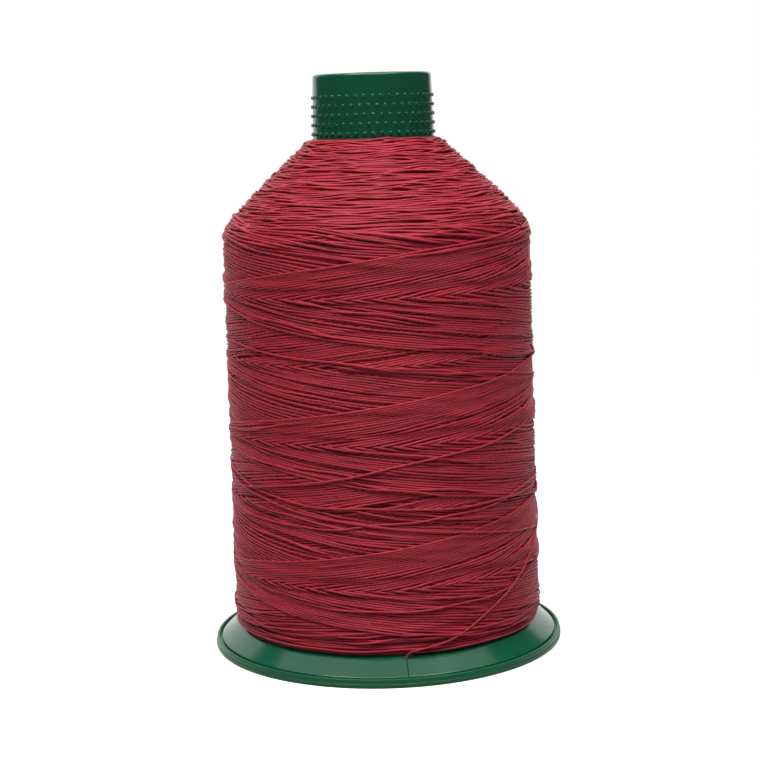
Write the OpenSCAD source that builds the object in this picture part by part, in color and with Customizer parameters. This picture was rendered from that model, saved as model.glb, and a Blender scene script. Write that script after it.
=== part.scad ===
// King spool of heavy sewing thread, standing on its lock base.
// Millimetres, +Z up, origin on the floor at the middle of the base.
// The winding tube is pressed into a coned flange, and the thread is cross-wound on both.
// The thread's end goes down into a fine slit in the flange. The lock base clips into the
// tube's foot, and the spool can be lifted on it to the end of the clip's travel.

/* [Spool] */
// Height from the floor to the rim of the neck
spool_h = 133; // [127:0.5:142]
// Diameter over the foot of the lock base
base_d = 82.5; // [80.5:0.5:90]
// Clearance between parts that pass each other freely
running_gap = 0.3; // [0.2:0.05:0.4]
// Clearance round a part that is pressed or wound into place
seat_gap = 0.05; // [0.03:0.01:0.1]

/* [Winding tube] */
// Outside diameter at the rim of the neck
neck_d = 27.2; // [26:0.1:30]
// Draft of the tube on each side, in degrees
tube_draft = 1.6; // [1:0.1:2.2]
// Wall of the tube
tube_wall = 1.6; // [1.4:0.1:2]
// Rounding of the neck's rim
lip_round = 0.7; // [0.3:0.1:0.9]
// Diameter of the straight land in the neck that runs on a spindle
spindle_d = 23; // [20:0.1:23.6]
// Length of that land
spindle_land = 12; // [6:0.5:20]
// Length of neck that stands out of the thread
neck_exposed = 14.1; // [12:0.1:20]
// Width and height of the ring that stands on the flange
stop_ring = 1.1; // [0.6:0.1:1.6]
// How far the bead under the flange's collar stands out
foot_bead = 0.4; // [0.2:0.05:0.6]

/* [Grip pips] */
// Rows of pips on the bare neck
pip_rows = 5; // [1:1:6]
// Pips in each row
pip_count = 44; // [16:1:52]
// Width of a pip over its corners
pip_d = 0.75; // [0.5:0.05:1]
// Height of a pip
pip_proud = 0.35; // [0.2:0.05:0.5]
// Distance from the neck's rim to the first row
pip_top_margin = 5.2; // [3:0.1:7]
// Distance from the last row to the thread
pip_foot_margin = 0.6; // [0.6:0.1:2]

/* [Base flange] */
// Height of the deck that the thread stands on
deck_h = 5.75; // [5.2:0.05:7]
// Wall of the flange
flange_wall = 1.3; // [1:0.1:1.5]
// Height of the flange's outer edge
flange_edge_h = 0.75; // [0.5:0.05:1]
// How far the package stands out past the deck's edge
deck_setback = 0.5; // [0.3:0.1:1.5]
// Wall of the collar round the tube's foot
collar_wall = 1.5; // [1:0.1:2.5]
// Width of the slit that grips the thread's end
thread_slit = 0.12; // [0.1:0.01:0.2]
// Stiffening ribs under the deck
flange_ribs = 12; // [6:1:16]
// Thickness of the ribs, here and under the lock base
rib_w = 1; // [0.7:0.1:1.5]

/* [Lock base] */
// Height of the rim
rim_h = 2.05; // [1.9:0.05:2.6]
// Thickness of the rim's upper ring
rim_w = 0.7; // [0.5:0.05:1]
// How far the foot steps out past the upper ring
rim_step = 0.2; // [0.1:0.05:0.5]
// Height of the foot, up to that step
foot_h = 0.95; // [0.7:0.05:1.1]
// Width of the gap between the flange and the rim
rim_gap = 0.55; // [0.5:0.05:0.8]
// Floor of the trough inside the rim
trough_h = 1.2; // [1.1:0.05:1.3]
// Thickness of the web
web_t = 1; // [0.8:0.1:1.2]
// Ribs under the web
base_ribs = 12; // [6:1:20]
// Recess of the ribs and the hub from the floor
hub_recess = 0.2; // [0.1:0.05:0.4]

/* [Snap fingers] */
// Number of fingers round the hub
finger_count = 4; // [3:1:6]
// Thickness of a finger
finger_t = 1.8; // [1.4:0.1:2.2]
// Height of the fingers above the web
finger_h = 8.2; // [7.5:0.1:10]
// Slot between two fingers
finger_slot = 2.5; // [1.5:0.1:4]
// How far a finger's bead stands out
snap_proud = 0.5; // [0.35:0.05:0.6]
// Height of that bead
snap_h = 1.6; // [1.2:0.1:2]
// Travel of the spool on its base
lock_travel = 3; // [2:0.1:3.4]

/* [Thread package] */
// Diameter of the package on the deck, under its outer turns
package_base_d = 71.6; // [68:0.2:72]
// Diameter of the package at the corner of its shoulder
package_shoulder_d = 69.8; // [66:0.2:72]
// Height of the coned shoulder
shoulder_h = 20.4; // [14:0.2:30]
// Bulge of the cone out of a straight line
shoulder_bulge = 0.6; // [0.2:0.1:1.2]
// Length that the shoulder's corner is rounded over, each way
shoulder_round = 3; // [1:0.5:5]

/* [Outer turns] */
// Diameter of the thread
thread_d = 0.45; // [0.3:0.01:0.46]
// Turns in one stroke of the traverse between deck and shoulder
stroke_turns = 2.75; // [2.75:1:4.75]
// Turns of the last stroke, before the thread leaves for the lock
last_turns = 0.8; // [0.6:0.1:1.5]
// Part of a turn over which the traverse reverses
reverse_turns = 0.25; // [0.15:0.05:0.3]
// Height of the lowest reversal above the deck
reverse_h = 2.6; // [2:0.1:6]
// Lift of a turn where it passes over an earlier one
crossing_lift = 0.92; // [0.9:0.01:1.1]

/* [Hidden] */
$fn = 120;

plastic_colour = [0.13, 0.36, 0.28];
thread_colour = [0.6, 0.15, 0.2];

// How far a cut runs past the face that it opens
past = 1;
// How far a rib or a pip is sunk in the wall that carries it
sunk = 0.3;
// Rounding of the deck's edge, and angle on it where the flange's cone begins
deck_round = 0.8;
cone_turn = 50;
// Rounding of the flange's outer edge
edge_round = 0.15;
// Rounding of the lock base's rim and foot
rim_round = 0.3;

// Levels from the floor up
web_rise = 0.05;
web_top = rim_h + web_rise;
web_under = web_top - web_t;
edge_gap = 0.15;
flange_edge_z = trough_h + edge_gap;
flange_edge_top = flange_edge_z + flange_edge_h;
tube_foot_z = web_top + running_gap;
foot_bead_h = 0.7;
collar_gap = 0.1;
collar_z = tube_foot_z + foot_bead_h + collar_gap;
deck_under = deck_h - flange_wall;
package_z = deck_h + seat_gap;
package_top = spool_h - neck_exposed;

// Radii from the outside in
base_r = base_d / 2;
rim_r = base_r - rim_step;
rim_in_r = rim_r - rim_w;
flange_r = rim_in_r - rim_gap;
deck_r = package_base_d / 2 - deck_setback;
seat_r = tube_r(deck_h);
socket_r = seat_r - tube_wall;
collar_in_r = seat_r + seat_gap;
collar_r = collar_in_r + collar_wall;
finger_r = socket_r - running_gap;
hub_bore_r = finger_r - finger_t;
spigot_gap = 1.2;
spigot_r = flange_r - flange_wall - spigot_gap;
foot_w = 1;
foot_in_r = spigot_r - foot_w;

// Snap bead and the groove that it slides in, in the rest position
snap_play = 0.15;
finger_top = web_top + finger_h;
groove_low = finger_top - snap_h - lock_travel - snap_play;
groove_high = finger_top + snap_play;
groove_r = finger_r + snap_proud + running_gap / 2;
socket_land = 1.5;
socket_top = groove_high + socket_land;
finger_root = 1.5;
bead_slope = 0.3;

function tube_r(z) = neck_d / 2 + (spool_h - z) * tan(tube_draft);

// Points of an arc about [r, z] from angle a0 to a1, in steps of a0 to a1 over n
function arc(r, z, size, a0, a1, n = 4) =
    [for (i = [0 : n]) let (a = a0 + (a1 - a0) * i / n) [r + size * cos(a), z + size * sin(a)]];

function unit(v) = v / norm(v);
function lerp(a, b, u) = a + (b - a) * u;

// ---- Winding tube ----

module tube_wall_shape() {
    lip = min(lip_round, tube_wall / 2);
    lead_in = 0.2;
    chamfer = 0.5;
    top_in_r = spindle_d / 2;
    land_z = spool_h - spindle_land;
    difference() {
        polygon(concat(
            [
                [0, tube_foot_z],
                [seat_r - lead_in, tube_foot_z],
                [seat_r + foot_bead, tube_foot_z + foot_bead_h / 2],
                [seat_r + foot_bead, tube_foot_z + foot_bead_h],
                [seat_r, tube_foot_z + foot_bead_h],
                [seat_r, deck_h],
                [seat_r + stop_ring, deck_h],
                [seat_r + stop_ring, deck_h + stop_ring / 2],
                [tube_r(deck_h + stop_ring), deck_h + stop_ring],
                [tube_r(spool_h - lip), spool_h - lip]
            ],
            arc(tube_r(spool_h - lip) - lip, spool_h - lip, lip, 15, 90),
            [[0, spool_h]]
        ));
        // straight land for the spindle, with a small chamfer
        translate([0, land_z - past]) square([top_in_r, spindle_land + 2 * past]);
        polygon([
            [0, spool_h - chamfer], [top_in_r, spool_h - chamfer],
            [top_in_r + chamfer, spool_h], [top_in_r + chamfer, spool_h + past], [0, spool_h + past]
        ]);
        // drafted inside
        polygon([
            [0, socket_top - past], [tube_r(socket_top - past) - tube_wall, socket_top - past],
            [tube_r(land_z) - tube_wall, land_z - past], [top_in_r, land_z], [0, land_z]
        ]);
        // socket for the lock base's fingers, with the groove that its beads run in
        translate([0, tube_foot_z - past]) square([socket_r, socket_top - tube_foot_z + past]);
        translate([0, groove_low]) square([groove_r, groove_high - groove_low]);
    }
}

module pip_row(z, turn) {
    r = tube_r(z) - sunk;
    for (i = [0 : pip_count - 1])
        rotate([0, 0, (i + turn) * 360 / pip_count])
            translate([r, 0, z])
                rotate([0, 90, 0])
                    cylinder(h = sunk + pip_proud, d = pip_d, $fn = 6);
}

module winding_tube() {
    first_z = spool_h - pip_top_margin;
    last_z = package_top + pip_foot_margin;
    pitch = (first_z - last_z) / max(1, pip_rows - 1);
    color(plastic_colour) {
        rotate_extrude() tube_wall_shape();
        for (row = [0 : pip_rows - 1]) pip_row(first_z - row * pitch, (row % 2) / 2);
    }
}

// ---- Base flange ----

module base_flange() {
    slope = unit([flange_r - deck_r, flange_edge_top - deck_h]);
    inward = [slope[1], -slope[0]] * flange_wall;
    fall = slope[1] / slope[0];
    function cone_in_r(z) = deck_r + inward[0] + (z - deck_h - inward[1]) / fall;
    color(plastic_colour) difference() {
        union() {
            rotate_extrude() polygon(concat(
                [
                    [collar_in_r, collar_z], [collar_r, collar_z], [collar_r, deck_under],
                    [cone_in_r(deck_under), deck_under], [cone_in_r(flange_edge_z), flange_edge_z],
                    [flange_r, flange_edge_z]
                ],
                arc(flange_r - edge_round, flange_edge_top - edge_round, edge_round, 0, cone_turn, 2),
                arc(deck_r - deck_round * cos(cone_turn), deck_h - deck_round, deck_round, cone_turn, 90, 3),
                [[collar_in_r, deck_h]]
            ));
            rib = [
                [collar_r - sunk, collar_z], [cone_in_r(collar_z) + sunk, collar_z],
                [cone_in_r(deck_under) + sunk, deck_under],
                [cone_in_r(deck_under), deck_under + sunk], [collar_r - sunk, deck_under + sunk]
            ];
            for (i = [0 : flange_ribs - 1])
                rotate([90, 0, (i + 0.5) * 360 / flange_ribs])
                    linear_extrude(rib_w, center = true) polygon(rib);
        }
        // The slit, pressed apart at its inner end by the thread
        rotate(tail_azimuth) translate([eye_r, 0, 0]) {
            cylinder(d = thread_d + 2 * seat_gap, h = deck_h + past);
            translate([0, -thread_slit / 2, 0]) cube([flange_r - eye_r + past, thread_slit, deck_h + past]);
        }
    }
}

// ---- Lock base ----

module lock_base_shape() {
    step_round = min(rim_round, rim_step / 2);
    inner_round = min(rim_round, rim_w / 3);
    polygon(concat(
        [
            [hub_bore_r, hub_recess], [finger_r, hub_recess], [finger_r, web_under],
            [foot_in_r, web_under], [foot_in_r, 0]
        ],
        arc(base_r - rim_round, rim_round, rim_round, -90, 0),
        arc(base_r - step_round, foot_h - step_round, step_round, 0, 90),
        [[rim_r, foot_h]],
        arc(rim_r - rim_round, rim_h - rim_round, rim_round, 0, 90),
        arc(rim_in_r + inner_round, rim_h - inner_round, inner_round, 90, 180, 2),
        [
            [rim_in_r, trough_h], [spigot_r, trough_h], [spigot_r, web_top],
            [finger_r, web_top], [finger_r, finger_top - snap_h],
            [finger_r + snap_proud, finger_top - snap_h + bead_slope],
            [finger_r + snap_proud, finger_top - snap_h / 2],
            [finger_r - bead_slope, finger_top], [hub_bore_r, finger_top]
        ]
    ));
}

module lock_base() {
    rib_in_r = finger_r - sunk;
    rib_out_r = foot_in_r + sunk;
    color(plastic_colour) {
        difference() {
            rotate_extrude() lock_base_shape();
            for (i = [0 : finger_count - 1])
                rotate([0, 0, i * 360 / finger_count])
                    translate([hub_bore_r - past, -finger_slot / 2, web_top + finger_root])
                        cube([finger_r - hub_bore_r + snap_proud + 2 * past, finger_slot, finger_h]);
        }
        for (i = [0 : base_ribs - 1])
            rotate([0, 0, i * 360 / base_ribs])
                translate([rib_in_r, -rib_w / 2, hub_recess])
                    cube([rib_out_r - rib_in_r, rib_w, web_under - hub_recess + sunk]);
    }
}

// ---- Thread package ----

// Outline of the package from the deck to the neck: a drafted body, a rounded corner
// and a cone that bulges a little
corner = [package_shoulder_d / 2, package_top - shoulder_h];
package_foot = [package_base_d / 2, package_z];
package_lip = [tube_r(package_top) + thread_d, package_top];

function cone_at(u) =
    let (along = package_lip - corner, out = unit([along[1], -along[0]]))
    lerp(corner, package_lip, u) + out * 4 * shoulder_bulge * u * (1 - u);

function corner_at(u) =
    let (
        a = lerp(corner, package_foot, shoulder_round / norm(corner - package_foot)),
        b = cone_at(shoulder_round / norm(package_lip - corner))
    )
    lerp(lerp(a, corner, u), lerp(corner, b, u), u);

outline = concat(
    [package_foot],
    [for (u = [0 : 1 / 6 : 1.001]) corner_at(u)],
    [for (u = [0.25 : 0.15 : 1.001]) cone_at(u)]
);

module thread_package() {
    color(thread_colour)
        rotate_extrude() polygon(concat(
            [[seat_r + stop_ring + seat_gap, package_z]],
            outline,
            [
                [tube_r(package_top) + seat_gap, package_top],
                [tube_r(deck_h + stop_ring) + seat_gap, deck_h + stop_ring + seat_gap],
                [seat_r + stop_ring + seat_gap, deck_h + stop_ring / 2 + seat_gap]
            ]
        ));
}

// ---- Outer turns ----

// The last turns that the traverse laid: down the cone at a small pitch, then strokes between
// the shoulder and the deck. A later stroke lies on the package too, and hops over each
// earlier turn that it crosses.
turns = 24;
rings = 24;
strokes = 3;
end_azimuth = 30;

// Distance along the outline, as tables for lookup()
outline_len = [for (i = 0, s = 0; i < len(outline); s = s + step_len(i), i = i + 1) s];
function step_len(i) = i + 1 < len(outline) ? norm(outline[i + 1] - outline[i]) : 0;
r_table = [for (i = [0 : len(outline) - 1]) [outline_len[i], outline[i][0]]];
z_table = [for (i = [0 : len(outline) - 1]) [outline_len[i], outline[i][1]]];

function outline_at(s) = [lookup(s, r_table), lookup(s, z_table)];
function outline_dir(s) = unit(outline_at(s + 0.6) - outline_at(s - 0.6));

s_low = reverse_h;
s_high = norm(corner - package_foot);
s_neck = outline_len[len(outline) - 1] - 1;
pitch = (s_high - s_low) / (stroke_turns - reverse_turns);
first_stroke = turns - strokes * stroke_turns - last_turns;

// Travel of the traverse since its last reversal, for u turns into a stroke
function travel(u) =
    u < reverse_turns ? pitch / (2 * reverse_turns) * u * u :
    u > stroke_turns - reverse_turns ?
        pitch * (stroke_turns - reverse_turns)
            - pitch / (2 * reverse_turns) * (stroke_turns - u) * (stroke_turns - u) :
    pitch * (u - reverse_turns / 2);

function stroke_no(t) = floor((t - first_stroke) / stroke_turns + 1e-9);
function since_reversal(t) = t - first_stroke - stroke_no(t) * stroke_turns;

function distance_at(t) =
    t < first_stroke ? lerp(s_neck, s_high, t / first_stroke) :
    stroke_no(t) % 2 == 0 ? s_high - travel(since_reversal(t)) :
    s_low + travel(since_reversal(t));

// A share that is 1 up to near, 0 past far, and falls smoothly between
function fade(x, near, far) =
    x <= near ? 1 : x >= far ? 0 : (1 + cos(180 * (x - near) / (far - near))) / 2;

// Degrees from a crossing over which a turn keeps its lift, and where it is back on the package
hop_near = 8;
hop_far = 45;
function crossing(t, n, earlier) =
    let (x = 2 * since_reversal(t) + (n - 1 - earlier) * stroke_turns)
    fade(abs(x - round(x)) * 180, hop_near, hop_far);
function lift_at(t) =
    let (n = stroke_no(t))
    n < 1 || since_reversal(t) < 0.12 ? base_lift :
    base_lift + crossing_lift * max([for (e = [n - 1 : -2 : 0]) crossing(t, n, e)]);

// A ring lies far enough out for the chord to the next one to clear the package
base_lift = thread_d / 2 + seat_gap + package_base_d / 2 * (1 - cos(180 / rings));

function azimuth_at(t) = end_azimuth + 360 * (turns - t);
function around(p, azimuth) = [p[0] * cos(azimuth), p[0] * sin(azimuth), p[1]];

function turn_point(t, lift) =
    let (s = distance_at(t), d = outline_dir(s))
    around(outline_at(s) + [d[1], -d[0]] * lift, azimuth_at(t));

turn_rings = [for (k = [0 : turns * rings]) turn_point(k / rings, lift_at(k / rings))];
turn_ups = [for (k = [0 : turns * rings])
    around(outline_dir(distance_at(k / rings)), azimuth_at(k / rings))];
last_ring = turn_rings[turns * rings];
leave_dir = unit(last_ring - turn_rings[turns * rings - 1]);
leave_point = last_ring + leave_dir * thread_d;

// The first end stands square on the package for one diameter before it turns along it
start_points = [
    turn_point(0, seat_gap),
    turn_point(0, seat_gap + thread_d),
    turn_point(0.004, base_lift)
];
turn_path = concat(start_points, [for (k = [1 : turns * rings]) turn_rings[k]], [leave_point]);
turn_refs = concat([for (p = start_points) turn_ups[0]], [for (k = [1 : turns * rings]) turn_ups[k]],
    [turn_ups[turns * rings]]);

// Least gap between turns, measured at 8 points on each chord where they share an azimuth
fine = 8;
fine_points = [for (k = [0 : turns * rings - 1], i = [0 : fine - 1])
    lerp(turn_rings[k], turn_rings[k + 1], i / fine)];
per_turn = rings * fine;
least_gap = min([for (k = [0 : per_turn - 1], a = [0 : turns - 2], b = [a + 1 : turns - 1])
    norm(fine_points[a * per_turn + k] - fine_points[b * per_turn + k])]) - thread_d;

// A tube of even sides along a path; ref is a direction across the path at each point
module thread_tube(path, refs, sides) {
    n = len(path);
    r = thread_d / 2;
    points = [for (i = [0 : n - 1])
        let (
            t = i == 0 ? unit(path[1] - path[0]) :
                i == n - 1 ? unit(path[i] - path[i - 1]) :
                unit(unit(path[i + 1] - path[i]) + unit(path[i] - path[i - 1])),
            v = unit(refs[i] - t * (refs[i] * t)),
            w = cross(t, v)
        )
        for (j = [0 : sides - 1]) let (a = 360 * j / sides) path[i] + r * (v * cos(a) + w * sin(a))];
    walls = [for (i = [0 : n - 2], j = [0 : sides - 1])
        let (a = i * sides + j, b = i * sides + (j + 1) % sides)
        each [[a, a + sides, b], [b, a + sides, b + sides]]];
    ends = [for (j = [1 : sides - 2]) each [
        [0, j, j + 1],
        [(n - 1) * sides, (n - 1) * sides + j + 1, (n - 1) * sides + j]
    ]];
    polyhedron(points = points, faces = concat(walls, ends));
}

module outer_turns() {
    echo(least_gap_between_turns = least_gap);
    color(thread_colour) thread_tube(turn_path, turn_refs, 6);
}

// ---- Thread tail ----

// Azimuth and height above the deck of the tail's way down the package
tail_route = [
    [20, 28.5], [8, 27.6], [-6, 23.4], [-24, 17.3], [-42, 10.1], [-60, 4.6], [-74, 1.8], [-82, 0.5]
];
tail_azimuth = -84;
// How far the thread's end hangs out under the flange
tail_end = 0.8;
tail_lift = thread_d / 2 + seat_gap;

// The tail hops over each turn that it crosses: distances from the turn where it is over it,
// and where it is back on the package
over_turn = 1;
beside_turn = 4;
function hop_over_turns(azimuth, s) =
    max([for (back = [1 : turns - 1])
        let (t = turns - back + (end_azimuth - azimuth) / 360)
        (lift_at(t) + thread_d + 2 * seat_gap - tail_lift)
            * fade(abs(distance_at(t) - s), over_turn, beside_turn)]);

// Where the tail goes down through the flange, and the underside of the flange there
eye_r = package_base_d / 2 + tail_lift;
eye_under = lookup(eye_r, [[deck_r, deck_h], [flange_r, flange_edge_top]])
    - flange_wall / cos(atan((deck_h - flange_edge_top) / (flange_r - deck_r)));

// Knots of the tail as azimuth, radius and height
function cylindrical(p) = [atan2(p[1], p[0]), norm([p[0], p[1]]), p[2]];
tail_knots = concat(
    [cylindrical(leave_point), cylindrical(leave_point + leave_dir * thread_d)],
    [for (p = tail_route) [p[0], lookup(p[1], r_table) + tail_lift, package_z + p[1]]],
    [for (z = [package_z + 0.1, deck_h - thread_d, eye_under + thread_d, eye_under - tail_end])
        [tail_azimuth, eye_r, z]]
);

// A smooth curve through the knots, at u from 0 to their count less one
function knot(i) = tail_knots[max(0, min(len(tail_knots) - 1, i))];
function curve_at(u) =
    let (i = min(floor(u), len(tail_knots) - 2), f = u - i,
        a = knot(i - 1), b = knot(i), c = knot(i + 1), d = knot(i + 2))
    0.5 * ((2 * b) + (c - a) * f + (2 * a - 5 * b + 4 * c - d) * f * f
        + (3 * b - a - 3 * c + d) * f * f * f);
// It stays on the package where the curve would cut into it
function tail_point(p) =
    let (s = p[2] - package_z)
    around(s > 0 ?
        [max(p[1], lookup(s, r_table) + tail_lift) + hop_over_turns(p[0], s), p[2]] :
        [p[1], p[2]], p[0]);

tail_rings = 5;
last_knot = len(tail_knots) - 1;
tail_path = concat(
    [leave_point],
    [for (k = [tail_rings : last_knot * tail_rings - 1]) tail_point(curve_at(k / tail_rings))],
    [around([knot(last_knot)[1], knot(last_knot)[2]], tail_azimuth)]
);
tail_refs = [for (p = tail_path) unit([p[0], p[1], 0])];

module thread_tail() {
    color(thread_colour) thread_tube(tail_path, tail_refs, 8);
}

winding_tube();
base_flange();
lock_base();
thread_package();
outer_turns();
thread_tail();
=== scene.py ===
# A king spool of crimson sewing thread, cross-wound on a dark green tube and flange
import math
import bpy
import numpy as np
from mathutils import Matrix, Vector


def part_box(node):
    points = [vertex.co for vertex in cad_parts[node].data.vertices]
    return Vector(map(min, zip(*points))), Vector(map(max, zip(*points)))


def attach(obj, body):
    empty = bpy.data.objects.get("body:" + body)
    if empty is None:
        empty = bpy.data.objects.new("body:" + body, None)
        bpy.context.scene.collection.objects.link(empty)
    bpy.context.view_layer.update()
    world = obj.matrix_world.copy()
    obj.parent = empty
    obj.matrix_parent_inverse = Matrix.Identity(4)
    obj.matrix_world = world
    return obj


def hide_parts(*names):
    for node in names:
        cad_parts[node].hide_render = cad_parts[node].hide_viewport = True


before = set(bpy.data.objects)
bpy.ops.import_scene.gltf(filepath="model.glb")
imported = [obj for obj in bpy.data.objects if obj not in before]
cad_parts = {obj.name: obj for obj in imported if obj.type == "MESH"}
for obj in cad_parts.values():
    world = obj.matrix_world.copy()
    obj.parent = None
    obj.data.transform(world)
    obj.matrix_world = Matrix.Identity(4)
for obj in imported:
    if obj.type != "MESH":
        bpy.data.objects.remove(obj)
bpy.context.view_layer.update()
mm = 0.001


def toLinear(hexColour):
    channels = [int(hexColour[i:i + 2], 16) / 255 for i in (1, 3, 5)]
    return [c / 12.92 if c <= 0.04045 else ((c + 0.055) / 1.055) ** 2.4 for c in channels] + [1.0]


# Adds one node: inputs are values or the sockets that feed them, settings are its own properties
def addNode(tree, kind, inputs, **settings):
    made = tree.nodes.new(kind)
    for name, value in settings.items():
        setattr(made, name, value)
    for name, value in inputs.items():
        if isinstance(value, bpy.types.NodeSocket):
            tree.links.new(value, made.inputs[name])
        else:
            made.inputs[name].default_value = value
    return made


def newMaterial(name):
    made = bpy.data.materials.new(name)
    made.use_nodes = True
    made.node_tree.nodes.clear()
    return made, made.node_tree


def addObject(name, data):
    made = bpy.data.objects.new(name, data)
    bpy.context.scene.collection.objects.link(made)
    return made


def smoothStep(x, edge0, edge1):
    t = np.clip((x - edge0) / (edge1 - edge0), 0, 1)
    return t * t * (3 - 2 * t)


def unit(v):
    return v / np.linalg.norm(v, axis=1, keepdims=True)


cameraRig = {
    "place": (0, -403.2, 123.05),  # mm
    "pitchDown": 8.643,            # degrees
    "pan": 0.03,
    "roll": -1.752,
    "lens": 81.93,                 # mm
    "sensor": 36,                  # mm
    "nearest": 0.01,               # m
    "farthest": 10,
}


def makeCamera():
    camera = addObject("camera", bpy.data.cameras.new("camera"))
    turn = Matrix.Rotation(math.radians(cameraRig["pan"]), 4, "Z")
    tilt = Matrix.Rotation(math.radians(90 - cameraRig["pitchDown"]), 4, "X")
    roll = Matrix.Rotation(math.radians(cameraRig["roll"]), 4, "Z")
    place = Matrix.Translation([x * mm for x in cameraRig["place"]])
    camera.matrix_world = place @ turn @ tilt @ roll
    camera.data.lens = cameraRig["lens"]
    camera.data.sensor_width = cameraRig["sensor"]
    camera.data.clip_start = cameraRig["nearest"]
    camera.data.clip_end = cameraRig["farthest"]
    bpy.context.scene.camera = camera
    print("camera ready")


makeCamera()


plastic = {
    "tubeColour": "#0e5239",
    "tubeRoughness": 0.22,
    "tubeGloss": 0.5,          # the whole reflection
    "flangeColour": "#0e533b",
    "flangeRoughness": 0.12,
    "flangeGloss": 0.5,
    "baseColour": "#085837",
    "baseRoughness": 0.3,
    "baseGloss": 0.2,          # its rim is rubbed dull
    "ior": 1.5,                # below clear polystyrene's 1.59: impact grades hold rubber
    "flowSize": 14,            # mm, faint streaks where the melt flowed
    "flowRange": (0.3, 0.7),   # part of the noise that the streaks span
    "flowShade": (0.9, 1.08),  # times the colour, from streak to streak
    "flowRough": (0.9, 1.15),  # times the roughness
    "peelSize": 0.7,           # mm, the ripple of a polished mould
    "peelHeight": 0.0015,      # mm
    "milky": 0.75,             # share of the light that spreads under the surface and comes out
    "milkyDepth": 0.6,         # mm
    "edgeSize": 0.3,           # mm that edges look rounded by, so that each pip catches the light
}


# High-impact polystyrene, moulded in a polished tool: deep colour, clean and faintly rippled gloss
def polystyrene(piece):
    material, tree = newMaterial("polystyrene" + piece.capitalize())
    place = addNode(tree, "ShaderNodeTexCoord", {}).outputs["Object"]
    flow = addNode(tree, "ShaderNodeTexNoise", {
        "Vector": place, "Scale": 1 / (plastic["flowSize"] * mm), "Detail": 3, "Roughness": 0.5})
    shade = addNode(tree, "ShaderNodeValToRGB", {"Fac": flow.outputs["Fac"]})
    stops = zip(shade.color_ramp.elements, plastic["flowRange"], plastic["flowShade"])
    for stop, position, tint in stops:
        stop.position = position
        stop.color = [c * tint for c in toLinear(plastic[piece + "Colour"])[:3]] + [1]
    low, high = plastic["flowRange"]
    smoother, rougher = (plastic[piece + "Roughness"] * times for times in plastic["flowRough"])
    rough = addNode(tree, "ShaderNodeMapRange", {
        "Value": flow.outputs["Fac"], "From Min": low, "From Max": high,
        "To Min": smoother, "To Max": rougher})
    peel = addNode(tree, "ShaderNodeTexNoise", {
        "Vector": place, "Scale": 1 / (plastic["peelSize"] * mm), "Detail": 2})
    edge = addNode(tree, "ShaderNodeBevel", {"Radius": plastic["edgeSize"] * mm}, samples=6)
    bump = addNode(tree, "ShaderNodeBump", {
        "Height": peel.outputs["Fac"], "Strength": 1.0, "Distance": plastic["peelHeight"] * mm,
        "Normal": edge.outputs["Normal"]})
    shader = addNode(tree, "ShaderNodeBsdfPrincipled", {
        "Base Color": shade.outputs["Color"], "Roughness": rough.outputs["Result"],
        "IOR": plastic["ior"], "Specular IOR Level": plastic[piece + "Gloss"],
        "Normal": bump.outputs["Normal"],
        "Subsurface Weight": plastic["milky"], "Subsurface Radius": (1, 1, 1),
        "Subsurface Scale": plastic["milkyDepth"] * mm})
    addNode(tree, "ShaderNodeOutputMaterial", {"Surface": shader.outputs["BSDF"]})
    return material


yarn = {
    "colour": "#a82a3a",
    "darkColour": "#962333",
    # painted shade: darker than the strands' colour, for the shade the strands above cast on the
    # package
    "coreShadeColour": "#7c1826",
    "toneRange": (0.25, 0.75),  # part of the mixed tones that the two colours span
    "patchSize": 9,             # mm, faint patches of the dye
    "roughness": 0.5,
    "ior": 1.3,                 # less than nylon's 1.53: the strands' fine fibres scatter gloss
    "sheen": 0.02,
    "sheenRoughness": 0.4,
    "plies": 3,
    "layLength": 2.4,           # mm of one full turn of the plies
    "plyHeight": 0.006,         # mm, how deep the groove between two plies is
    "plyStrength": 0.6,         # share of it that shows where bonding fills the groove
    "coreRoughness": 0.6,
    "coreStrands": 0.45,        # mm from one strand to the next
    "coreHeight": 0.2,          # mm
}


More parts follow.
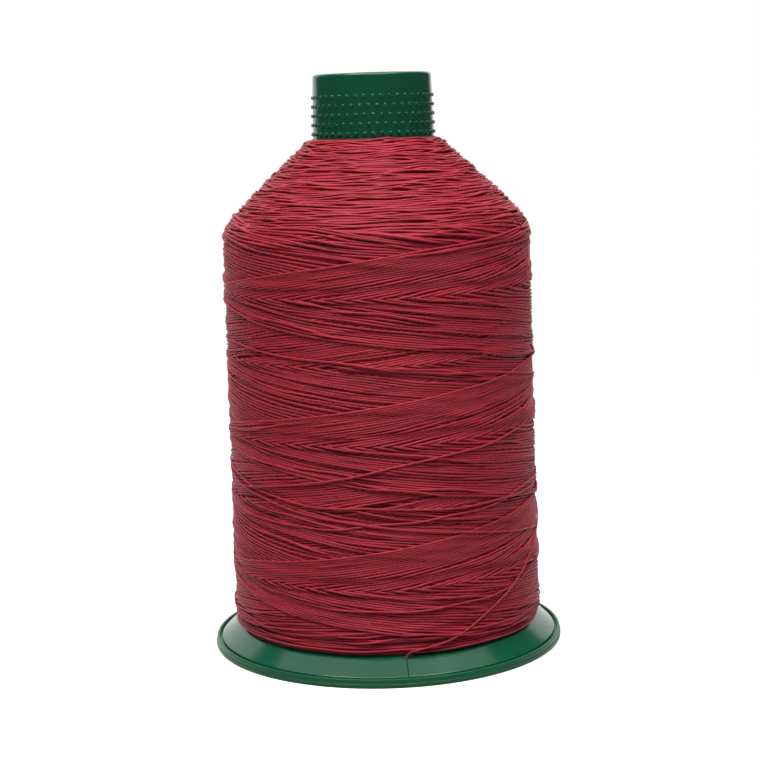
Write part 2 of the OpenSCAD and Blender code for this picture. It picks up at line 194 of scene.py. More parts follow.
# Bonded nylon, three plies twisted and glued: smooth strands with a low gloss and a faint twist
def bondedNylon(name):
    material, tree = newMaterial(name)
    place = addNode(tree, "ShaderNodeTexCoord", {}).outputs["Object"]
    along = addNode(tree, "ShaderNodeUVMap", {}, uv_map="alongThread").outputs["UV"]
    parts = addNode(tree, "ShaderNodeSeparateXYZ", {"Vector": along})
    tone = addNode(tree, "ShaderNodeAttribute", {}, attribute_name="strandTone")
    patchy = addNode(tree, "ShaderNodeTexNoise", {
        "Vector": place, "Scale": 1 / (yarn["patchSize"] * mm), "Detail": 2})
    both = addNode(tree, "ShaderNodeMath", {
        0: tone.outputs["Fac"], 1: patchy.outputs["Fac"]}, operation="ADD")
    mean = addNode(tree, "ShaderNodeMath", {0: both.outputs[0], 1: 0.5}, operation="MULTIPLY")
    shade = addNode(tree, "ShaderNodeValToRGB", {"Fac": mean.outputs[0]})
    stops = zip(shade.color_ramp.elements, yarn["toneRange"], ("darkColour", "colour"))
    for stop, position, colour in stops:
        stop.position = position
        stop.color = toLinear(yarn[colour])
    # the plies run round the strand once in a lay length, side by side
    turnsAlong = addNode(tree, "ShaderNodeMath", {
        0: parts.outputs["X"], 1: yarn["plies"] / (yarn["layLength"] * mm)}, operation="MULTIPLY")
    turnsRound = addNode(tree, "ShaderNodeMath", {
        0: parts.outputs["Y"], 1: yarn["plies"]}, operation="MULTIPLY")
    phase = addNode(tree, "ShaderNodeMath", {
        0: turnsAlong.outputs[0], 1: turnsRound.outputs[0]}, operation="ADD")
    angle = addNode(tree, "ShaderNodeMath", {0: phase.outputs[0], 1: math.pi}, operation="MULTIPLY")
    wave = addNode(tree, "ShaderNodeMath", {0: angle.outputs[0]}, operation="SINE")
    groove = addNode(tree, "ShaderNodeMath", {0: wave.outputs[0]}, operation="ABSOLUTE")
    bump = addNode(tree, "ShaderNodeBump", {
        "Height": groove.outputs[0], "Strength": yarn["plyStrength"],
        "Distance": yarn["plyHeight"] * mm})
    shader = addNode(tree, "ShaderNodeBsdfPrincipled", {
        "Base Color": shade.outputs["Color"], "Roughness": yarn["roughness"], "IOR": yarn["ior"],
        "Sheen Weight": yarn["sheen"], "Sheen Roughness": yarn["sheenRoughness"],
        "Normal": bump.outputs["Normal"]})
    addNode(tree, "ShaderNodeOutputMaterial", {"Surface": shader.outputs["BSDF"]})
    return material


# The wound thread below the modelled strands: the same nylon, with painted shade: its colour is
# darker for the shade those strands cast on it
def deepNylon(name):
    material, tree = newMaterial(name)
    place = addNode(tree, "ShaderNodeTexCoord", {}).outputs["Object"]
    # drawn 2 pi times as coarse as the strands are, which would be too fine to show
    strands = addNode(tree, "ShaderNodeTexWave", {
        "Vector": place, "Scale": 1 / (yarn["coreStrands"] * mm) / 20,
        "Distortion": 1.5, "Detail": 1}, wave_type="BANDS", bands_direction="Z")
    bump = addNode(tree, "ShaderNodeBump", {
        "Height": strands.outputs["Fac"], "Strength": 1.0, "Distance": yarn["coreHeight"] * mm})
    shader = addNode(tree, "ShaderNodeBsdfPrincipled", {
        "Base Color": toLinear(yarn["coreShadeColour"]), "Roughness": yarn["coreRoughness"],
        "Normal": bump.outputs["Normal"]})
    addNode(tree, "ShaderNodeOutputMaterial", {"Surface": shader.outputs["BSDF"]})
    return material


# The moulded parts keep their own meshes
def dressMouldings():
    for name, piece in (("winding_tube", "tube"), ("base_flange", "flange"), ("lock_base", "base")):
        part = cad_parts[name]
        part.data.materials.clear()
        part.data.materials.append(polystyrene(piece))
    print("mouldings dressed")


dressMouldings()


# The outline that the strands fill, from the deck up to the neck
package = {
    "proud": 0.25,           # mm that the strands stand out of the package on the deck
    "shoulderRadius": 35.5,  # mm, where the body's line would meet the cone's
    "shoulderHeight": 98.7,
    "shoulderRound": 4.2,    # mm from there to where the rounding begins
    "neckRadius": 14.4,
    "neckInset": 0.3,        # mm by which the strands end below the package's top
    "coneBulge": 0.35,       # mm, halfway up the cone
    "linePoints": 60,
    "bendPoints": 12,
    "step": 0.1,             # mm between the finished outline's points
}
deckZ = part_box("thread_package")[0].z / mm
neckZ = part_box("thread_package")[1].z / mm
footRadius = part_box("thread_package")[1].x / mm + package["proud"]


def packageOutline():
    foot = np.array([footRadius, deckZ])
    corner = np.array([package["shoulderRadius"], package["shoulderHeight"]])
    neck = np.array([package["neckRadius"], neckZ - package["neckInset"]])
    u = np.linspace(0, 1, package["linePoints"])[:, None]
    coneLine = neck - corner
    outward = np.array([coneLine[1], -coneLine[0]]) / np.linalg.norm(coneLine)
    upper = corner + coneLine * u + outward * 4 * package["coneBulge"] * u * (1 - u)
    lower = foot + (corner - foot) * u
    size = package["shoulderRound"]
    before = corner + (foot - corner) / np.linalg.norm(foot - corner) * size
    after = upper[np.argmin(abs(np.linalg.norm(upper - corner, axis=1) - size))]
    v = np.linspace(0, 1, package["bendPoints"])[:, None]
    bend = (1 - v) ** 2 * before + 2 * v * (1 - v) * corner + v ** 2 * after
    points = np.vstack([
        lower[np.linalg.norm(lower - corner, axis=1) > size], bend,
        upper[np.linalg.norm(upper - corner, axis=1) > size]])
    lengths = np.r_[0, np.cumsum(np.linalg.norm(np.diff(points, axis=0), axis=1))]
    s = np.arange(0, lengths[-1], package["step"])
    return np.interp(s, lengths, points[:, 0]), np.interp(s, lengths, points[:, 1])


outlineR, outlineZ = packageOutline()
outlineLength = (len(outlineR) - 1) * package["step"]
outlinePlaces = np.arange(len(outlineR)) * package["step"]
slopeR = np.gradient(outlineR)
slopeZ = np.gradient(outlineZ)
slopeSize = np.hypot(slopeR, slopeZ)
outR = slopeZ / slopeSize
outZ = -slopeR / slopeSize


def onOutline(s, table):
    return np.interp(s, outlinePlaces, table)


# Strands are laid one after another on a height map, with a column for each degree round the spool
lay = {
    "diameter": 0.45,     # mm
    "wide": 1.14,         # strands that press on each other are a little flattened
    "high": 0.88,
    "rowSize": 0.075,     # mm along the outline
    "margin": 8,          # rows before the outline's start
    "spare": 20,          # rows beyond its two ends together
    "edge": 0.1,          # mm that strands stay away from those ends
    "batch": 300,         # degrees laid at a time
    "ahead": 40,          # degrees beyond them that are pulled tight with them
    "blend": 20,          # degrees in which a batch leaves the line of the one before it
    "relax": 160,         # passes that pull a strand tight between its supports
    "slips": 5,           # times that it may slide to lower ground
    "slip": 0.12,         # mm to each side where it feels for lower ground
    "slipShare": 0.7,     # share of those mm that it slides at a time
    "feel": 6,            # degrees to each side over which it averages the ground
    "stiff": 8,           # degrees to each side that slide with it
}
empty = -9                # mm, lower than any strand lies
radius = lay["diameter"] / 2
rowCount = int(outlineLength / lay["rowSize"]) + lay["spare"]
heights = np.zeros((360, rowCount))
reach = int(radius / lay["rowSize"]) + 1


def rowsUnder(s):
    first = np.floor(s / lay["rowSize"]).astype(int)
    rows = first[:, None] + np.arange(-reach, reach + 2)
    away = rows * lay["rowSize"] - s[:, None]
    rise = np.sqrt(np.clip(radius ** 2 - away ** 2, 0, None))
    return np.clip(rows + lay["margin"], 0, rowCount - 1), np.where(abs(away) < radius, rise, empty)


def restingOn(columns, s):
    rows, rise = rowsUnder(s)
    return (heights[columns[:, None], rows] + rise).max(axis=1)


def blurred(values, size):
    padded = np.pad(values, size, mode="edge")
    return np.convolve(padded, np.ones(2 * size + 1) / (2 * size + 1), mode="valid")


def withinEnds(s):
    return np.clip(s, lay["edge"], outlineLength - lay["edge"])


def slidDown(columns, s):
    for _ in range(lay["slips"]):
        here, up, down = (
            blurred(restingOn(columns, s + x), lay["feel"]) for x in (0, lay["slip"], -lay["slip"]))
        slide = np.where((up < here) & (up <= down), 1.0, np.where(down < here, -1.0, 0.0))
        s = withinEnds(s + blurred(slide, lay["stiff"]) * lay["slip"] * lay["slipShare"])
    return s


# Lays a strand whose places along the outline are given for each degree from firstDegree on
def layStrand(firstDegree, s):
    s = withinEnds(s)
    settled = np.empty((len(s), 2))
    previous = None
    for start in range(0, len(s), lay["batch"]):
        part = s[start:start + lay["batch"] + lay["ahead"]]
        columns = (firstDegree + start + np.arange(len(part))) % 360
        part = slidDown(columns, part)
        if previous is not None:
            part += (previous[0] - part[0]) * np.exp(-np.arange(len(part)) / lay["blend"])
        floor = restingOn(columns, part)
        # a taut strand runs straight, so it lies this far inside the curve through its neighbours
        drop = onOutline(part, outlineR) * (1 - math.cos(math.radians(1))) * onOutline(part, outR)
        height = floor.copy()
        if previous is not None:
            height[0] = max(height[0], previous[1])
        for _ in range(lay["relax"]):
            height[1:-1] = np.maximum(floor[1:-1], (height[:-2] + height[2:]) / 2 - drop[1:-1])
        kept = min(lay["batch"], len(part))
        part, height, columns = part[:kept], height[:kept], columns[:kept]
        rows, rise = rowsUnder(part)
        spots = (np.repeat(columns, rows.shape[1]), rows.ravel())
        tops = np.where(rise > empty, height[:, None] + rise, empty).ravel()
        np.maximum.at(heights, spots, tops)
        settled[start:start + kept, 0] = part
        settled[start:start + kept, 1] = height
        previous = (part[-1], height[-1])
    return settled


random = np.random.default_rng(7)
waves = {
    "long": 2.3,          # in one turn round the spool
    "short": 5.1,
    "shortShare": 0.6,    # of the long one's height
}


# Two waves of unlike length, by which a strand strays from its line
def wavy(count, size):
    x = np.arange(count) / 360
    a, b = random.uniform(0, 1, 2)
    return size * (np.sin(2 * math.pi * (x * waves["long"] + a)) +
                   waves["shortShare"] * np.sin(2 * math.pi * (x * waves["short"] + b)))


cone = {
    "arcs": 150,                # reversals of older layers that show on the cone
    "halfTurns": 0.47,          # of a turn on each side of a reversal
    "uneven": (0.85, 1.15),     # times that
    "fall": 1.5,                # mm that an arc falls over that part of a turn
    "topMargin": 0.4,           # mm
    "lowest": 92.0,             # mm along the outline
    "advance": 0.382,           # of a turn between two arcs
    "unevenAdvance": (0.9, 1.1),
    "wander": 0.09,             # mm
}


def coneArcs():
    arcs = []
    azimuth = 0.0
    for i in range(cone["arcs"]):
        share = i / (cone["arcs"] - 1)
        peak = outlineLength - cone["topMargin"] - share * (outlineLength - cone["lowest"])
        half = int(cone["halfTurns"] * 360 * random.uniform(*cone["uneven"]))
        degrees = np.arange(-half, half)
        s = peak - cone["fall"] * (degrees / (cone["halfTurns"] * 360)) ** 2
        s += wavy(len(degrees), cone["wander"])
        azimuth += cone["advance"] * random.uniform(*cone["unevenAdvance"])
        arcs.append((round(azimuth * 360) + degrees, s))
    return arcs


footTurns = {
    "turns": 14,
    "start": 0.35,      # mm above the deck
    "spacing": 0.5,     # mm
    "wander": 0.1,      # mm
}


def footStrand():
    degrees = np.arange(int(footTurns["turns"] * 360))
    rising = footTurns["start"] + footTurns["spacing"] * degrees / 360
    return degrees, rising + wavy(len(degrees), footTurns["wander"])


traverse = {
    "lead": 32.0,                 # mm that a strand climbs in one turn of the body
    "halfTurns": 1.5,             # from the middle of a stroke to its ends
    "topSlowing": 2.9,            # mm short of the turning point at which it really reverses
    "footSlowing": 3.6,
    "unevenTop": (0.45, 1.25),    # times those, from reversal to reversal
    "unevenFoot": (0.75, 1.2),
    "cycles": 84,                 # strokes up, with as many down
    "rising": 0.47,               # mm between rising strands, which lie side by side
    "unevenRising": (0.98, 1.04),
    "falling": [                  # cycles, and the mm between their falling strands
        (5, 0.55), (6, 0.66), (10, 0.48), (9, 0.76), (12, 0.48)],
    "unevenFalling": (0.85, 1.15),
    "wander": 0.13,               # mm by which falling strands wave
    "lastUp": 54.9,               # mm along the outline where the last strokes pass the front
    "lastDown": 37.2,
    "jumps": {                    # age in cycles, and the mm by which both lines jump there
        12: 0.6, 17: 0.5, 24: 0.7, 31: 0.8, 38: 1.1, 52: 0.9, 60: 0.6, 71: 0.9},
}


# Places along the outline for each degree from one turning point to the next
def strokePlaces(phase, up, foot, top, slowFoot, slowTop):
    lead = traverse["lead"]
    side = 1 if up else -1
    turnTop = side * (top - phase) / lead
    turnFoot = side * (foot - phase) / lead
    first, last = sorted((turnTop, turnFoot))
    degrees = np.arange(round(first * 360), round(last * 360))
    a = degrees / 360
    s = phase + side * lead * a
    widthTop, widthFoot = 2 * slowTop / lead, 2 * slowFoot / lead
    nearTop, nearFoot = abs(a - turnTop), abs(a - turnFoot)
    s = np.where(nearTop < widthTop, top - slowTop * (1 + (nearTop / widthTop) ** 2), s)
    s = np.where(nearFoot < widthFoot, foot + slowFoot * (1 + (nearFoot / widthFoot) ** 2), s)
    return degrees, s


# Strokes in the order they are laid, oldest first. Where a rising and a falling line meet is
# their turning point, so the reversals creep along the spool as the two shift at different rates.
def bodyStrokes():
    up, down = traverse["lastUp"], traverse["lastDown"]
    half = traverse["halfTurns"] * traverse["lead"]
    lines = []
    spacings = [size for count, size in traverse["falling"] for _ in range(count)]
    for age in range(traverse["cycles"] + 1):
        lines.append((up, down))
        jump = traverse["jumps"].get(age, 0)
        up -= traverse["rising"] * random.uniform(*traverse["unevenRising"]) + jump
        down += spacings[age % len(spacings)] * random.uniform(*traverse["unevenFalling"]) + jump
    strokes = []
    slowFoot = traverse["footSlowing"]
    for age in range(traverse["cycles"] - 1, -1, -1):
        up, down = lines[age]
        top = (up + down) / 2 + half
        footBefore = (up + lines[age + 1][1]) / 2 - half
        footAfter = ((lines[age - 1][0] if age else up) + down) / 2 - half
        slowTop = traverse["topSlowing"] * random.uniform(*traverse["unevenTop"])
        strokes.append(strokePlaces(up, True, footBefore, top, slowFoot, slowTop))
        slowFoot = traverse["footSlowing"] * random.uniform(*traverse["unevenFoot"])
        degrees, s = strokePlaces(down, False, footAfter, top, slowFoot, slowTop)
        strokes.append((degrees, s + wavy(len(s), traverse["wander"])))
    return strokes


# Joins strokes into one strand: at each reversal the traverse waits until the next stroke sets off
def joined(strokes):
    degrees, s = strokes[0]
    allDegrees, allPlaces = [degrees], [s]
    for nextDegrees, nextPlaces in strokes[1:]:
        last = allDegrees[-1][-1]
        wait = int((nextDegrees[0] - last) % 360)
        before, after = allPlaces[-1][-1], nextPlaces[0]
        if wait > 1:
            x = np.arange(1, wait)
            allDegrees.append(last + x)
            allPlaces.append(before + (after - before) * smoothStep(x / wait, 0, 1))
        allDegrees.append(last + wait + nextDegrees - nextDegrees[0])
        allPlaces.append(nextPlaces)
    return np.concatenate(allDegrees), np.concatenate(allPlaces)


# The last turns, wound by hand: turns round the spool from the front, and mm above the floor
lastRoute = [
    (6.90, 9.4), (6.70, 11.5), (6.50, 17), (6.20, 27.5), (5.90, 38), (5.60, 49),
    (5.222, 63), (5.10, 67), (5.00, 69.8), (4.90, 72.3), (4.82, 73.8), (4.76, 73.4),
    (4.65, 70.2), (4.40, 61.5), (4.00, 47.3), (3.60, 33), (3.40, 28), (3.222, 21),
    (3.17, 18.5), (3.125, 16.7), (3.038, 15.9), (2.951, 16.3), (2.882, 18.2), (2.830, 20),
    (2.778, 21.4), (2.50, 30), (2.222, 38.2), (2.090, 38.0), (2.003, 38.5), (1.917, 39.5),
    (1.864, 41), (1.813, 43.6), (1.778, 44.6), (1.50, 42.2), (1.222, 39.5), (1.178, 39.2),
    (1.090, 36.5), (1.021, 35.5), (0.927, 34), (0.864, 34.5), (0.799, 36.3), (0.60, 36.8),
    (0.40, 35.4), (0.333, 34.3),
]


# A smooth curve through chosen points, by turns; the points are in order of falling turns
def smoothRoute(points):
    points = np.array(points[::-1], float)
    x, y = points[:, 0], points[:, 1]
    slopes = np.gradient(y, x)
    degrees = np.arange(math.ceil(x[0] * 360), math.floor(x[-1] * 360) + 1)
    a = degrees / 360
    i = np.clip(np.searchsorted(x, a, side="right") - 1, 0, len(x) - 2)
    width = x[i + 1] - x[i]
    t = (a - x[i]) / width
    s = ((1 + 2 * t) * (1 - t) ** 2 * y[i] + t * (1 - t) ** 2 * width * slopes[i]
         + t * t * (3 - 2 * t) * y[i + 1] + t * t * (t - 1) * width * slopes[i + 1])
    return degrees, s


leveling = {
    "round": 18,      # degrees to each side
    "along": 14,      # rows to each side
    "high": 0.08,     # mm above the level from which strands are pressed down
    "low": 0.14,      # mm below it from which they are held up by those beneath
    "kept": 0.5,      # share of what they stand out beyond these that is left
    "deepest": -0.6,  # mm from the level, beyond which no strand lies
    "highest": 0.5,
}


# The height map smoothed round the spool and along it: what lies below it fills the package
def evened(field):
    for size, axis in ((leveling["round"], 0), (leveling["along"], 1)) * 2:
        padded = np.pad(field, [(size, size) if i == axis else (0, 0) for i in (0, 1)],
                        mode="wrap" if axis == 0 else "edge")
        sums = np.cumsum(np.insert(padded, 0, 0, axis=axis), axis=axis)
        width = 2 * size + 1
        field = (np.take(sums, range(width, sums.shape[axis]), axis) -
                 np.take(sums, range(sums.shape[axis] - width), axis)) / width
    return field


def levelAt(level, degrees, s):
    place = np.clip(s / lay["rowSize"], 0, level.shape[1] - 1.001)    # just short of the last row
    first = place.astype(int)
    part = place - first
    return level[degrees % 360, first] * (1 - part) + level[degrees % 360, first + 1] * part


# Where strands pile up, those on top press the rest together
def pressed(offset):
    plain = np.clip(offset, -leveling["low"], leveling["high"])
    eased = plain + leveling["kept"] * (offset - plain)
    return np.clip(eased, leveling["deepest"], leveling["highest"])


# The middles of a strand's rings, and the outward direction at each
def ringsOf(degrees, settled, level, step):
    keep = np.r_[np.arange(0, len(degrees) - 1, step), len(degrees) - 1]
    angle = np.radians(degrees[keep] - 90.0)
    s, height = settled[keep, 0], settled[keep, 1]
    offset = pressed(height - levelAt(level, degrees[keep], s))
    slantR, slantZ = onOutline(s, outR), onOutline(s, outZ)
    r = onOutline(s, outlineR) + slantR * offset
    z = onOutline(s, outlineZ) + slantZ * offset
    centres = np.stack([r * np.cos(angle), r * np.sin(angle), z], 1)
    normals = np.stack([slantR * np.cos(angle), slantR * np.sin(angle), slantZ], 1)
    return centres, normals


diving = {
    "depth": 1.2,     # mm that a strand's end goes down between the others
    "over": 24,       # degrees
}


def dive(settled, first, last):
    sunk = diving["depth"] * (1 - smoothStep(np.arange(len(settled)), 0, diving["over"]))
    if first:
        settled[:, 1] -= sunk
    if last:
        settled[:, 1] -= sunk[::-1]
    return settled


def windThread():
    laid = []
    for degrees, s in coneArcs():
        laid.append(("coneTurns", degrees, dive(layStrand(degrees[0], s), True, True)))
    degrees, s = footStrand()
    laid.append(("bodyTurns", degrees, dive(layStrand(degrees[0], s), True, True)))
    degrees, s = joined(bodyStrokes())
    laid.append(("bodyTurns", degrees, dive(layStrand(degrees[0], s), True, True)))
    degrees, z = smoothRoute(lastRoute)
    laid.append(("lastTurns", degrees, dive(layStrand(degrees[0], z - deckZ), False, True)))
    print("strands laid:", len(laid))
    rows = int(outlineLength / lay["rowSize"])
    level = evened(heights[:, lay["margin"]:lay["margin"] + rows])
    every = int(10 / lay["rowSize"])
    print("mean height by 10 mm:", np.round(level.mean(axis=0)[::every], 2).tolist())
    return laid, level


tubes = {
    "sides": 6,
    "ringStep": 3,         # degrees between rings
    "partRings": 1200,     # in one part of a strand, which has its own shade
    "pieceRings": 14000,   # in one piece
    "bakeMargin": 0.1,     # of a cell of the square on which the rings are laid out for baking
    "capPlace": 0.25,      # of a cell, from its middle to those of a tube's two ends
    "capSize": 0.15,
}


# The corners of each face between two rings, on a map
def mapCorners(u0, u1, v0, v1):
    return np.stack([u0, v0, u0, v1, u1, v1, u1, v0], -1).reshape(-1, 2)


def meshOf(name, points, corners, sizes):
    mesh = bpy.data.meshes.new(name)
    mesh.vertices.add(len(points))
    mesh.vertices.foreach_set("co", points.ravel())
    mesh.loops.add(len(corners))
    mesh.loops.foreach_set("vertex_index", corners)
    mesh.polygons.add(len(sizes))
    mesh.polygons.foreach_set("loop_start", np.r_[0, np.cumsum(sizes)[:-1]].astype(np.int32))
    mesh.polygons.foreach_set("loop_total", sizes)
    mesh.update(calc_edges=True)
    mesh.shade_smooth()
    return mesh


# One piece from several strands: closed tubes with a map that runs along each
def tubePiece(name, strands, sides, tones):
    points, faces, sizes, lengthMap, bakeMap, shades = [], [], [], [], [], []
    # for baking, the rings lie in rows on a square
    perRow = math.ceil(math.sqrt(sum(len(centres) + 1 for centres, _ in strands)))
    start, cell = 0, 0
    angles = np.arange(sides) * 2 * math.pi / sides
    for (centres, normals), tone in zip(strands, tones):
        count = len(centres)
        tangent = unit(np.gradient(centres, axis=0))
        side = unit(np.cross(tangent, normals))
        up = np.cross(side, tangent)
        ring = (lay["wide"] * np.cos(angles)[None, :, None] * side[:, None, :] +
                lay["high"] * np.sin(angles)[None, :, None] * up[:, None, :])
        points.append((centres[:, None, :] + radius * ring).reshape(-1, 3))
        i, j = np.meshgrid(np.arange(count - 1), np.arange(sides), indexing="ij")
        a = start + i * sides + j
        b = start + i * sides + (j + 1) % sides
        faces.append(np.stack([a, b, b + sides, a + sides], -1).reshape(-1))
        sizes.append(np.full(a.size, 4))
        lengths = np.r_[0, np.cumsum(np.linalg.norm(np.diff(centres, axis=0), axis=1))] * mm
        v0, v1 = j / sides, (j + 1) / sides
        lengthMap.append(mapCorners(lengths[i], lengths[i + 1], v0, v1))
        u, row = (cell + i) % perRow / perRow, (cell + i) // perRow / perRow
        margin = tubes["bakeMargin"]
        v0, v1 = (row + (margin + (1 - 2 * margin) * v) / perRow for v in (v0, v1))
        bakeMap.append(mapCorners(u, u + 1 / perRow, v0, v1))
        # both ends are closed, the first one facing back
        lastCell = cell + count - 0.5
        for ends, order in ((start, -1), (start + (count - 1) * sides, 1)):
            faces.append(ends + np.arange(sides)[::order])
            sizes.append([sides])
            lengthMap.append(np.zeros((sides, 2)))
            middle = np.array([
                lastCell % perRow + tubes["capPlace"] * order, lastCell // perRow + 0.5])
            around = np.stack([np.cos(angles), np.sin(angles)], 1)
            bakeMap.append((middle + tubes["capSize"] * around) / perRow)
        shades.append(np.full(count * sides, tone))
        start += count * sides
        cell += count
    mesh = meshOf(name, np.vstack(points) * mm, np.concatenate(faces).astype(np.int32),
                  np.concatenate(sizes).astype(np.int32))
    for layerName, values in (("alongThread", lengthMap), ("OFBake", bakeMap)):
        mesh.uv_layers.new(name=layerName).data.foreach_set("uv", np.vstack(values).ravel())
    shade = mesh.attributes.new("strandTone", "FLOAT", "POINT")
    shade.data.foreach_set("value", np.concatenate(shades).astype(np.float32))
    return addObject(name, mesh)


# A closed ring from an outline of radii and heights
def lathePiece(name, outline, segments):
    angles = np.arange(segments) * 2 * math.pi / segments
    outline = np.array(outline)
    points = np.stack([
        outline[:, 0][:, None] * np.cos(angles), outline[:, 0][:, None] * np.sin(angles),
        np.repeat(outline[:, 1][:, None], segments, 1)], -1).reshape(-1, 3) * mm
    count = len(outline)
    faces = [
        [i * segments + j, i * segments + (j + 1) % segments,
         (i + 1) % count * segments + (j + 1) % segments, (i + 1) % count * segments + j]
        for i in range(count) for j in range(segments)]
    mesh = bpy.data.meshes.new(name)
    mesh.from_pydata(points.tolist(), [], faces)
    mesh.shade_smooth()
    return addObject(name, mesh)


def addSpoolPiece(piece, material, *nodes):
    piece.data.materials.append(material)
    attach(piece, "spool")
    if nodes:
        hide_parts(*nodes)


# Cuts strands into parts and shares these out among pieces
def sharedOut(strands):
    pieces, count = [[]], 0
    for centres, normals in strands:
        for start in range(0, len(centres) - 1, tubes["partRings"]):
            end = start + tubes["partRings"] + 1
            size = len(centres[start:end])
            if count + size > tubes["pieceRings"] and pieces[-1]:
                pieces.append([])
                count = 0
            pieces[-1].append((centres[start:end], normals[start:end]))
            count += size
    return pieces


def makeStrands(laid, level):
    material = bondedNylon("bondedNylon")
    number = 0
    for kind in ("coneTurns", "bodyTurns", "lastTurns"):
        strands = [
            ringsOf(degrees, settled, level, tubes["ringStep"])
            for laidKind, degrees, settled in laid if laidKind == kind]
        for members in sharedOut(strands):
            number += 1
            tones = random.uniform(0, 1, len(members))
            piece = tubePiece(kind + str(number), members, tubes["sides"], tones)
            addSpoolPiece(piece, material, *(["outer_turns"] if kind == "lastTurns" else []))


core = {
    "below": 0.6,         # mm from the strands' level down to it
    "step": 1.5,          # mm between its outline's points
    "neckRadius": 14.2,   # mm, of its bore round the tube
    "footRadius": 17.6,
    "inset": 0.5,         # mm from the package's ends to the bore's
    "segments": 180,
}


# The package below the modelled strands
def makeCore():
    s = np.arange(0, outlineLength, core["step"])
    outer = np.stack([onOutline(s, outlineR) - onOutline(s, outR) * core["below"],
                      onOutline(s, outlineZ) - onOutline(s, outZ) * core["below"]], 1)
    outer[:, 1] = np.clip(outer[:, 1], deckZ, neckZ)
    inner = [(core["neckRadius"], neckZ - core["inset"]),
             (core["footRadius"], deckZ + core["inset"])]
    piece = lathePiece("packageCore", outer.tolist() + inner, core["segments"])
    addSpoolPiece(piece, deepNylon("deepNylon"), "thread_package")


laidStrands, strandLevel = windThread()
makeStrands(laidStrands, strandLevel)
makeCore()
print("winding made")


# The thread's end, from the last turn down to the eye of the flange's slit
tail = {
    "route": [            # degrees from the right, and mm above the deck
        (20, 28.5), (8, 27.6), (-6, 23.4), (-24, 17.3),
        (-42, 10.1), (-60, 4.6), (-74, 1.8), (-82, 0.5)],
    "eyeAzimuth": -84,
    "eyeRadius": 36.075,  # mm
    "endHeight": 2.7,     # mm above the floor
    "steps": 16,          # rings on the way through the eye
    "inEye": 0.45,        # share of that way on which it comes over the eye
    "droop": 1.4,         # power by which it turns down
    "ringStep": 2,        # degrees
    "sides": 8,
    "tone": 0.3,
}


def makeTail():
    points = [(lastRoute[-1][0] * 360 - 90, lastRoute[-1][1] - deckZ)] + tail["route"]
    degrees, z = smoothRoute([((azimuth + 90) / 360, height + deckZ) for azimuth, height in points])
    settled = layStrand(degrees[0], z - deckZ)
    centres, normals = ringsOf(degrees, settled, strandLevel, tail["ringStep"])
    centres, normals = centres[::-1], normals[::-1]
    azimuth = math.radians(tail["eyeAzimuth"])
    out = np.array([math.cos(azimuth), math.sin(azimuth), 0])
    side = np.array([-out[1], out[0], 0])
    first = centres[-1]
    u = np.linspace(0, 1, tail["steps"])[1:, None]
    ease = smoothStep(u, 0, tail["inEye"])
    r = (first @ out) * (1 - ease) + tail["eyeRadius"] * ease
    across = (first @ side) * (1 - ease)
    down = r * out + across * side
    down[:, 2] = (first[2] + (tail["endHeight"] - first[2]) * u ** tail["droop"])[:, 0]
    centres = np.vstack([centres, down])
    normals = np.vstack([normals, np.repeat(out[None], len(down), 0)])
    piece = tubePiece("threadTail", [(centres, normals)], tail["sides"], [tail["tone"]])
    addSpoolPiece(piece, bpy.data.materials["bondedNylon"], "thread_tail")
    print("tail made")


makeTail()


# White paper in a plain room, with three lamps in front and two softboxes that the gloss shows
studio = {
    "floorColour": "#f2f2f0",
    "floorUnseen": "#8c8c8a",           # the paper as it lights the spool
    "floorRadius": 0.42,                # m
    "floorSides": 96,
    "floorGlow": 0.35,                  # added for the camera, so that the paper stays white
    "roomLevel": 0.06,                  # radiance of the room around
    "topLevel": 1.07,                   # of the softbox above
    "topFacing": (-0.02, 0.3, 0.95),    # toward its middle
    "topEdge": (0.8, 0.82),             # products with that direction where it begins and is full
    "backLevel": 1.1,                   # of the one behind
    "backFacing": (-0.1, 1, 0.4),
    "backEdge": (0.79, 0.85),
    "lampTarget": (0, 0, 70),           # mm
    "lamps": [
        # name, place in mm, width and height in mm, watts
        ("frontKey", (0, -350, 680), (360, 260), 2.65),
        ("leftKey", (-270, -240, 700), (300, 220), 2.95),
        ("rightKey", (270, -240, 700), (300, 220), 2.5),
    ],
}


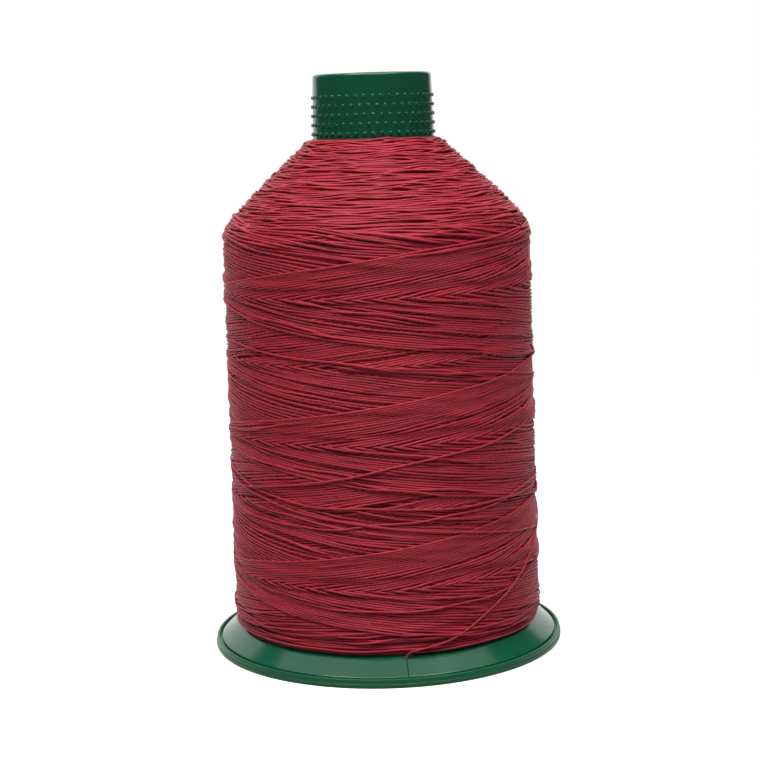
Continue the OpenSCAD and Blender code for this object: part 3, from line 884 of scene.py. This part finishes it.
def makeFloor():
    material, tree = newMaterial("whitePaper")
    path = addNode(tree, "ShaderNodeLightPath", {})
    seen = path.outputs["Is Camera Ray"]
    for ray in ("Is Glossy Ray", "Is Transmission Ray"):
        seen = addNode(tree, "ShaderNodeMath", {
            0: seen, 1: path.outputs[ray]}, operation="MAXIMUM").outputs[0]
    shade = addNode(tree, "ShaderNodeMixRGB", {
        "Fac": seen, "Color1": toLinear(studio["floorUnseen"]),
        "Color2": toLinear(studio["floorColour"])})
    paper = addNode(tree, "ShaderNodeBsdfDiffuse", {"Color": shade.outputs["Color"]})
    level = addNode(tree, "ShaderNodeMath", {
        0: path.outputs["Is Camera Ray"], 1: studio["floorGlow"]}, operation="MULTIPLY")
    glow = addNode(tree, "ShaderNodeEmission", {
        "Color": (1, 1, 1, 1), "Strength": level.outputs[0]})
    both = addNode(tree, "ShaderNodeAddShader", {0: paper.outputs[0], 1: glow.outputs[0]})
    addNode(tree, "ShaderNodeOutputMaterial", {"Surface": both.outputs[0]})
    size, sides = studio["floorRadius"], studio["floorSides"]
    angles = [2 * math.pi * i / sides for i in range(sides)]
    ring = [(size * math.cos(a), size * math.sin(a), 0) for a in angles]
    mesh = bpy.data.meshes.new("paperFloor")
    mesh.from_pydata(ring, [], [list(range(len(ring)))])
    mesh.materials.append(material)
    addObject("paperFloor", mesh)


def makeSurroundings():
    world = bpy.data.worlds.new("studioWorld")
    bpy.context.scene.world = world
    world.use_nodes = True
    tree = world.node_tree
    tree.nodes.clear()
    toward = addNode(tree, "ShaderNodeTexCoord", {}).outputs["Generated"]
    level = studio["roomLevel"]
    for part in ("top", "back"):
        facing = addNode(tree, "ShaderNodeVectorMath", {
            0: toward, 1: studio[part + "Facing"]}, operation="DOT_PRODUCT").outputs["Value"]
        start, full = studio[part + "Edge"]
        lit = addNode(tree, "ShaderNodeMapRange", {
            "Value": facing, "From Min": start, "From Max": full,
            "To Min": 0, "To Max": studio[part + "Level"]},
            interpolation_type="SMOOTHSTEP").outputs["Result"]
        level = addNode(tree, "ShaderNodeMath", {0: lit, 1: level}, operation="ADD").outputs[0]
    # the camera sees plain white; the spool has no metal or glass, so its gloss keeps the softboxes
    path = addNode(tree, "ShaderNodeLightPath", {}).outputs["Is Camera Ray"]
    rest = addNode(tree, "ShaderNodeMath", {0: 1.0, 1: path}, operation="SUBTRACT").outputs[0]
    unseen = addNode(tree, "ShaderNodeMath", {0: level, 1: rest}, operation="MULTIPLY").outputs[0]
    strength = addNode(tree, "ShaderNodeMath", {0: unseen, 1: path}, operation="ADD").outputs[0]
    sky = addNode(tree, "ShaderNodeBackground", {"Color": (1, 1, 1, 1), "Strength": strength})
    addNode(tree, "ShaderNodeOutputWorld", {"Surface": sky.outputs[0]})


def makeLamps():
    for name, place, size, watts in studio["lamps"]:
        lamp = addObject(name, bpy.data.lights.new(name, "AREA"))
        lamp.data.shape = "RECTANGLE"
        lamp.data.size, lamp.data.size_y = size[0] * mm, size[1] * mm
        lamp.data.energy = watts
        lamp.location = [x * mm for x in place]
        lamp.rotation_mode = "QUATERNION"
        aim = Vector(studio["lampTarget"]) - Vector(place)
        lamp.rotation_quaternion = aim.to_track_quat("-Z", "Y")


makeFloor()
makeSurroundings()
makeLamps()
bpy.context.scene.view_settings.view_transform = "Standard"
print("studio ready")
